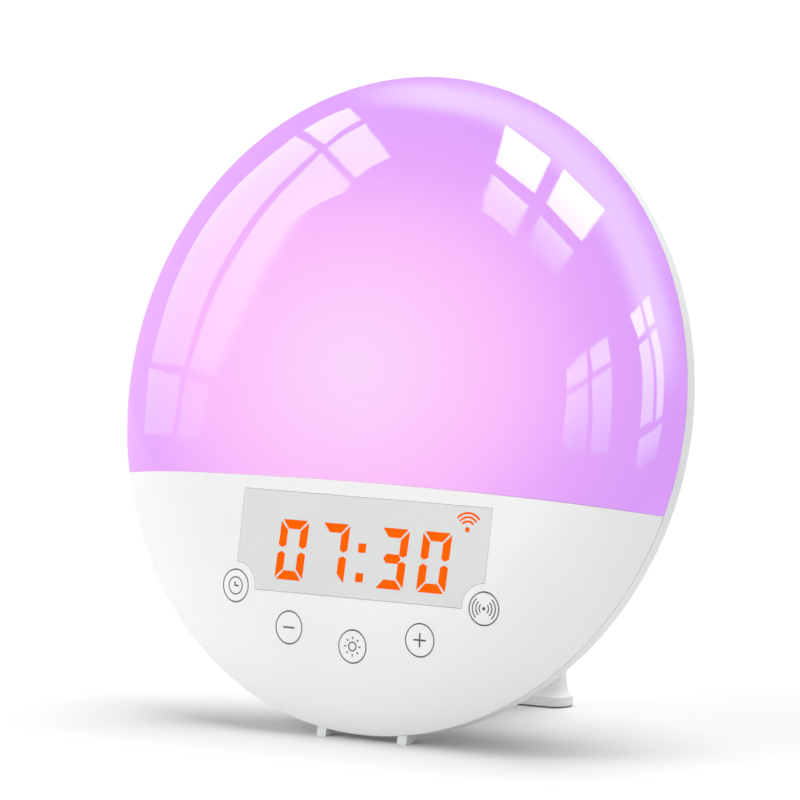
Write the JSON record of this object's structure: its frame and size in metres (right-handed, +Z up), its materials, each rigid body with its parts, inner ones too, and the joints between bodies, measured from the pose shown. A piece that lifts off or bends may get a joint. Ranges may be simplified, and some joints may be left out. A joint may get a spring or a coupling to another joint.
{
  "type": "sunrise alarm clock",
  "caption": "Round bedside light with a domed diffuser above a white panel with a digital clock window and push keys, propped on small front feet and a rear leg.",
  "frame": {"origin": "centre of the bounding box, at the level of the surface the clock stands on", "axes": "+X to the right seen from the front, +Y towards the back, +Z up; the lit face looks along -Y and 12 degrees upwards"},
  "size_m": [0.185, 0.0896, 0.1825],
  "materials": {
    "milky_diffuser": "polished milky polycarbonate, lit from inside",
    "gloss_white_plastic": "polished moulded white",
    "key_white_plastic": "polished moulded white with a printed sign",
    "display_grey": "smooth translucent light grey",
    "digit_light": "translucent orange, lit from behind",
    "black_plastic": "fine moulded matte",
    "circuit_board": "solder mask over glass laminate",
    "white_board": "white solder mask over aluminium core",
    "switch_plastic": "moulded switch body",
    "zinc_screw": "bright zinc plate",
    "black_screw": "black oxide",
    "white_plastic": "moulded white",
    "reflector_white": "matte reflecting white",
    "led_package": "ceramic package with a clear fill",
    "satin_white_plastic": "fine satin moulded white",
    "foam": "closed cell foam",
    "steel": "pressed and zinc plated",
    "cone_paper": "pressed pulp",
    "ferrite": "sintered grey ferrite",
    "shield_can": "tinned steel can",
    "plated_pin": "nickel plate",
    "grey_rubber": "soft matte rubber"
  },
  "bodies": {
    "housing": {"dome_diffuser": "milky_diffuser", "front_panel": "gloss_white_plastic", "display_window": "display_grey", "digit_inlays": "digit_light", "signal_icon": "digit_light", "display_block": "black_plastic", "key_board": "circuit_board", "key_switches": "switch_plastic", "key_board_screws": "zinc_screw", "inner_frame": "white_plastic", "shell_screws": "zinc_screw", "light_tray": "reflector_white", "lamp_board": "white_board", "lamp_leds": "led_package", "rear_cover": "satin_white_plastic", "cover_screws": "black_screw", "speaker_grille": "satin_white_plastic", "speaker_gasket": "foam", "speaker_basket": "steel", "speaker_cone": "cone_paper", "speaker_magnet": "ferrite", "speaker_screws": "zinc_screw", "main_board": "circuit_board", "main_board_screws": "zinc_screw", "main_board_chips": "black_plastic", "wireless_module": "shield_can", "dc_jack": "black_plastic", "dc_jack_pin": "plated_pin", "rear_leg": "satin_white_plastic", "leg_screws": "zinc_screw", "sole_pad": "grey_rubber", "front_foot_left": "satin_white_plastic", "front_foot_right": "satin_white_plastic"},
    "clock_key": {"clock_key": "key_white_plastic", "clock_plunger": "switch_plastic"},
    "minus_key": {"minus_key": "key_white_plastic", "minus_plunger": "switch_plastic"},
    "light_key": {"light_key": "key_white_plastic", "light_plunger": "switch_plastic"},
    "plus_key": {"plus_key": "key_white_plastic", "plus_plunger": "switch_plastic"},
    "sound_key": {"sound_key": "key_white_plastic", "sound_plunger": "switch_plastic"}
  },
  "joints": [
    {"name": "clock_key_press", "type": "slide", "parent": "housing", "child": "clock_key", "axis": [0, 0.9781, -0.2079], "range_m": [0, 0.0006], "stiffness_N_per_m": 1500},
    {"name": "minus_key_press", "type": "slide", "parent": "housing", "child": "minus_key", "axis": [0, 0.9781, -0.2079], "range_m": [0, 0.0006], "stiffness_N_per_m": 1500},
    {"name": "light_key_press", "type": "slide", "parent": "housing", "child": "light_key", "axis": [0, 0.9781, -0.2079], "range_m": [0, 0.0006], "stiffness_N_per_m": 1500},
    {"name": "plus_key_press", "type": "slide", "parent": "housing", "child": "plus_key", "axis": [0, 0.9781, -0.2079], "range_m": [0, 0.0006], "stiffness_N_per_m": 1500},
    {"name": "sound_key_press", "type": "slide", "parent": "housing", "child": "sound_key", "axis": [0, 0.9781, -0.2079], "range_m": [0, 0.0006], "stiffness_N_per_m": 1500}
  ]
}
